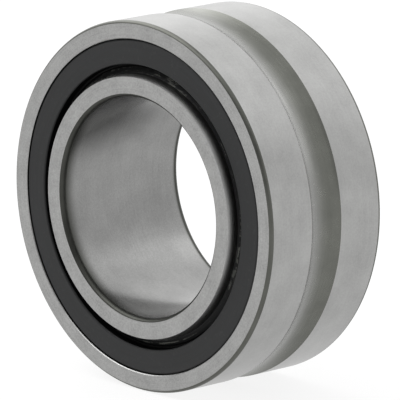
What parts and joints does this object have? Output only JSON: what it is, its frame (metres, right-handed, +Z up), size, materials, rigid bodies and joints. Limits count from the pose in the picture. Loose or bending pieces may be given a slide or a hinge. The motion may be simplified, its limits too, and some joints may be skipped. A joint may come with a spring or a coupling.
{
  "type": "needle roller bearing",
  "caption": "Sealed needle roller bearing with an inner ring, a grease groove round its outer ring and a black lip seal at each side.",
  "frame": {"origin": "centre of the bearing, on its axis, halfway between its side faces", "axes": "+Y along the bearing's axis from the front face to the back face, +Z up; the bearing stands on its outside diameter, and its grease hole faces -X"},
  "size_m": [0.042, 0.018, 0.042],
  "materials": {
    "ring_steel": "hardened bearing steel, fine ground",
    "needle_steel": "hardened bearing steel, superfinished",
    "cage_steel": "drawn steel, phosphated grey",
    "seal_rubber": "moulded black nitrile rubber, satin",
    "stiffener_steel": "pressed sheet steel, bonded to the rubber"
  },
  "bodies": {
    "root": {"outer_ring": "ring_steel", "seal_front": "seal_rubber", "seal_back": "seal_rubber", "seal_stiffener_front": "stiffener_steel", "seal_stiffener_back": "stiffener_steel"},
    "inner_ring_body": {"inner_ring": "ring_steel"},
    "cage_body": {"cage": "cage_steel"},
    "needle_01_body": {"needle_01": "needle_steel"},
    "needle_02_body": {"needle_02": "needle_steel"},
    "needle_03_body": {"needle_03": "needle_steel"},
    "needle_04_body": {"needle_04": "needle_steel"},
    "needle_05_body": {"needle_05": "needle_steel"},
    "needle_06_body": {"needle_06": "needle_steel"},
    "needle_07_body": {"needle_07": "needle_steel"},
    "needle_08_body": {"needle_08": "needle_steel"},
    "needle_09_body": {"needle_09": "needle_steel"},
    "needle_10_body": {"needle_10": "needle_steel"},
    "needle_11_body": {"needle_11": "needle_steel"},
    "needle_12_body": {"needle_12": "needle_steel"},
    "needle_13_body": {"needle_13": "needle_steel"},
    "needle_14_body": {"needle_14": "needle_steel"},
    "needle_15_body": {"needle_15": "needle_steel"},
    "needle_16_body": {"needle_16": "needle_steel"},
    "needle_17_body": {"needle_17": "needle_steel"},
    "needle_18_body": {"needle_18": "needle_steel"},
    "needle_19_body": {"needle_19": "needle_steel"},
    "needle_20_body": {"needle_20": "needle_steel"},
    "needle_21_body": {"needle_21": "needle_steel"},
    "needle_22_body": {"needle_22": "needle_steel"}
  },
  "joints": [
    {"name": "inner_ring_spin", "type": "hinge", "parent": "root", "child": "inner_ring_body", "pos_m": [0, 0, 0], "axis": [0, 1, 0], "continuous": true},
    {"name": "cage_spin", "type": "hinge", "parent": "root", "child": "cage_body", "pos_m": [0, 0, 0], "axis": [0, 1, 0], "continuous": true},
    {"name": "needle_01_spin", "type": "hinge", "parent": "cage_body", "child": "needle_01_body", "pos_m": [0, 0, 0.01678], "axis": [0, 1, 0], "continuous": true},
    {"name": "needle_02_spin", "type": "hinge", "parent": "cage_body", "child": "needle_02_body", "pos_m": [0.00473, 0, 0.0161], "axis": [0, 1, 0], "continuous": true},
    {"name": "needle_03_spin", "type": "hinge", "parent": "cage_body", "child": "needle_03_body", "pos_m": [0.00907, 0, 0.01411], "axis": [0, 1, 0], "continuous": true},
    {"name": "needle_04_spin", "type": "hinge", "parent": "cage_body", "child": "needle_04_body", "pos_m": [0.01268, 0, 0.01099], "axis": [0, 1, 0], "continuous": true},
    {"name": "needle_05_spin", "type": "hinge", "parent": "cage_body", "child": "needle_05_body", "pos_m": [0.01526, 0, 0.00697], "axis": [0, 1, 0], "continuous": true},
    {"name": "needle_06_spin", "type": "hinge", "parent": "cage_body", "child": "needle_06_body", "pos_m": [0.0166, 0, 0.00239], "axis": [0, 1, 0], "continuous": true},
    {"name": "needle_07_spin", "type": "hinge", "parent": "cage_body", "child": "needle_07_body", "pos_m": [0.0166, 0, -0.00239], "axis": [0, 1, 0], "continuous": true},
    {"name": "needle_08_spin", "type": "hinge", "parent": "cage_body", "child": "needle_08_body", "pos_m": [0.01526, 0, -0.00697], "axis": [0, 1, 0], "continuous": true},
    {"name": "needle_09_spin", "type": "hinge", "parent": "cage_body", "child": "needle_09_body", "pos_m": [0.01268, 0, -0.01099], "axis": [0, 1, 0], "continuous": true},
    {"name": "needle_10_spin", "type": "hinge", "parent": "cage_body", "child": "needle_10_body", "pos_m": [0.00907, 0, -0.01411], "axis": [0, 1, 0], "continuous": true},
    {"name": "needle_11_spin", "type": "hinge", "parent": "cage_body", "child": "needle_11_body", "pos_m": [0.00473, 0, -0.0161], "axis": [0, 1, 0], "continuous": true},
    {"name": "needle_12_spin", "type": "hinge", "parent": "cage_body", "child": "needle_12_body", "pos_m": [0, 0, -0.01678], "axis": [0, 1, 0], "continuous": true},
    {"name": "needle_13_spin", "type": "hinge", "parent": "cage_body", "child": "needle_13_body", "pos_m": [-0.00473, 0, -0.0161], "axis": [0, 1, 0], "continuous": true},
    {"name": "needle_14_spin", "type": "hinge", "parent": "cage_body", "child": "needle_14_body", "pos_m": [-0.00907, 0, -0.01411], "axis": [0, 1, 0], "continuous": true},
    {"name": "needle_15_spin", "type": "hinge", "parent": "cage_body", "child": "needle_15_body", "pos_m": [-0.01268, 0, -0.01099], "axis": [0, 1, 0], "continuous": true},
    {"name": "needle_16_spin", "type": "hinge", "parent": "cage_body", "child": "needle_16_body", "pos_m": [-0.01526, 0, -0.00697], "axis": [0, 1, 0], "continuous": true},
    {"name": "needle_17_spin", "type": "hinge", "parent": "cage_body", "child": "needle_17_body", "pos_m": [-0.0166, 0, -0.00239], "axis": [0, 1, 0], "continuous": true},
    {"name": "needle_18_spin", "type": "hinge", "parent": "cage_body", "child": "needle_18_body", "pos_m": [-0.0166, 0, 0.00239], "axis": [0, 1, 0], "continuous": true},
    {"name": "needle_19_spin", "type": "hinge", "parent": "cage_body", "child": "needle_19_body", "pos_m": [-0.01526, 0, 0.00697], "axis": [0, 1, 0], "continuous": true},
    {"name": "needle_20_spin", "type": "hinge", "parent": "cage_body", "child": "needle_20_body", "pos_m": [-0.01268, 0, 0.01099], "axis": [0, 1, 0], "continuous": true},
    {"name": "needle_21_spin", "type": "hinge", "parent": "cage_body", "child": "needle_21_body", "pos_m": [-0.00907, 0, 0.01411], "axis": [0, 1, 0], "continuous": true},
    {"name": "needle_22_spin", "type": "hinge", "parent": "cage_body", "child": "needle_22_body", "pos_m": [-0.00473, 0, 0.0161], "axis": [0, 1, 0], "continuous": true}
  ],
  "couplings": [
    {"joint": "cage_spin", "follows": "inner_ring_spin", "ratio": 0.44709},
    {"joint": "needle_01_spin", "follows": "inner_ring_spin", "ratio": -4.7392},
    {"joint": "needle_02_spin", "follows": "inner_ring_spin", "ratio": -4.7392},
    {"joint": "needle_03_spin", "follows": "inner_ring_spin", "ratio": -4.7392},
    {"joint": "needle_04_spin", "follows": "inner_ring_spin", "ratio": -4.7392},
    {"joint": "needle_05_spin", "follows": "inner_ring_spin", "ratio": -4.7392},
    {"joint": "needle_06_spin", "follows": "inner_ring_spin", "ratio": -4.7392},
    {"joint": "needle_07_spin", "follows": "inner_ring_spin", "ratio": -4.7392},
    {"joint": "needle_08_spin", "follows": "inner_ring_spin", "ratio": -4.7392},
    {"joint": "needle_09_spin", "follows": "inner_ring_spin", "ratio": -4.7392},
    {"joint": "needle_10_spin", "follows": "inner_ring_spin", "ratio": -4.7392},
    {"joint": "needle_11_spin", "follows": "inner_ring_spin", "ratio": -4.7392},
    {"joint": "needle_12_spin", "follows": "inner_ring_spin", "ratio": -4.7392},
    {"joint": "needle_13_spin", "follows": "inner_ring_spin", "ratio": -4.7392},
    {"joint": "needle_14_spin", "follows": "inner_ring_spin", "ratio": -4.7392},
    {"joint": "needle_15_spin", "follows": "inner_ring_spin", "ratio": -4.7392},
    {"joint": "needle_16_spin", "follows": "inner_ring_spin", "ratio": -4.7392},
    {"joint": "needle_17_spin", "follows": "inner_ring_spin", "ratio": -4.7392},
    {"joint": "needle_18_spin", "follows": "inner_ring_spin", "ratio": -4.7392},
    {"joint": "needle_19_spin", "follows": "inner_ring_spin", "ratio": -4.7392},
    {"joint": "needle_20_spin", "follows": "inner_ring_spin", "ratio": -4.7392},
    {"joint": "needle_21_spin", "follows": "inner_ring_spin", "ratio": -4.7392},
    {"joint": "needle_22_spin", "follows": "inner_ring_spin", "ratio": -4.7392}
  ]
}
